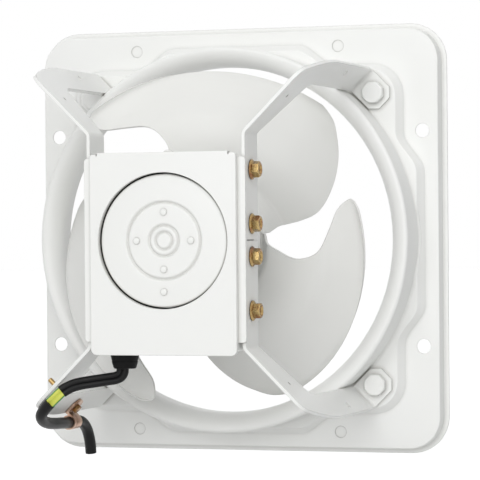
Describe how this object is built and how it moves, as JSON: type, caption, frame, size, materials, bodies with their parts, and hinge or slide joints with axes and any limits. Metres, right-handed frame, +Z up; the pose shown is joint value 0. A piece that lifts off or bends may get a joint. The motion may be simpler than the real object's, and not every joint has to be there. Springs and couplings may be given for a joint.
{
  "type": "window exhaust fan",
  "caption": "Square pressed panel with a bell-mouth throat; bent arms from its corners carry a central motor that spins a pressed propeller, with a clamped supply cord.",
  "frame": {"origin": "on the motor shaft's axis, in the plane of the wall that the panel's lip lies against", "axes": "+Z up, +Y along the shaft from the room into the wall, +X to the right seen from the room"},
  "size_m": [0.4, 0.2287, 0.4003],
  "materials": {
    "white_paint": "smooth glossy white stove enamel over pressed steel",
    "blade_paint": "smooth satin white enamel over pressed steel",
    "yellow_zinc": "yellow passivated zinc plate, slightly iridescent",
    "copper_zinc": "copper-toned passivated plate",
    "bare_steel": "bright turned steel",
    "laminations": "varnished stacked electrical steel",
    "copper_wire": "enamelled copper windings under varnish",
    "cast_aluminium": "die-cast rotor cage",
    "black_rubber": "moulded black rubber",
    "black_sheath": "smooth black sheath with a dull sheen",
    "grey_plastic": "moulded dark grey capacitor case",
    "terminal_plastic": "moulded cream terminal block"
  },
  "bodies": {
    "fan_frame": {"orifice_panel": "white_paint", "motor_bracket": "white_paint", "front_cover": "white_paint", "wiring_box": "white_paint", "motor_cap": "white_paint", "motor_case": "white_paint", "motor_rear_shield": "white_paint", "arm_upper_right": "white_paint", "arm_upper_left": "white_paint", "arm_lower_left": "white_paint", "arm_lower_right": "white_paint", "foot_bolt_upper_right": "white_paint", "foot_bolt_upper_left": "white_paint", "foot_bolt_lower_left": "white_paint", "foot_bolt_lower_right": "white_paint", "side_bolt_upper_right_1": "yellow_zinc", "side_bolt_upper_right_2": "yellow_zinc", "side_bolt_upper_left_1": "yellow_zinc", "side_bolt_upper_left_2": "yellow_zinc", "side_bolt_lower_left_1": "yellow_zinc", "side_bolt_lower_left_2": "yellow_zinc", "side_bolt_lower_right_1": "yellow_zinc", "side_bolt_lower_right_2": "yellow_zinc", "clamp_screw": "yellow_zinc", "clamp_nut": "yellow_zinc", "cord_clamp": "copper_zinc", "front_bearing": "bare_steel", "rear_bearing": "bare_steel", "bearing_wave_washer": "bare_steel", "motor_screw_1": "bare_steel", "motor_screw_2": "bare_steel", "motor_screw_3": "bare_steel", "motor_screw_4": "bare_steel", "stator_core": "laminations", "stator_winding": "copper_wire", "cable_gland": "black_rubber", "motor_gasket": "black_rubber", "supply_cord": "black_sheath", "capacitor": "grey_plastic", "terminal_block": "terminal_plastic"},
    "rotor": {"motor_shaft": "bare_steel", "rotor_core": "cast_aluminium", "propeller": "blade_paint", "propeller_boss": "bare_steel", "hub_washer": "bare_steel", "hub_nut": "bare_steel"}
  },
  "joints": [
    {"name": "propeller_spin", "type": "hinge", "parent": "fan_frame", "child": "rotor", "pos_m": [0, -0.098, 0], "axis": [0, 1, 0], "continuous": true}
  ]
}
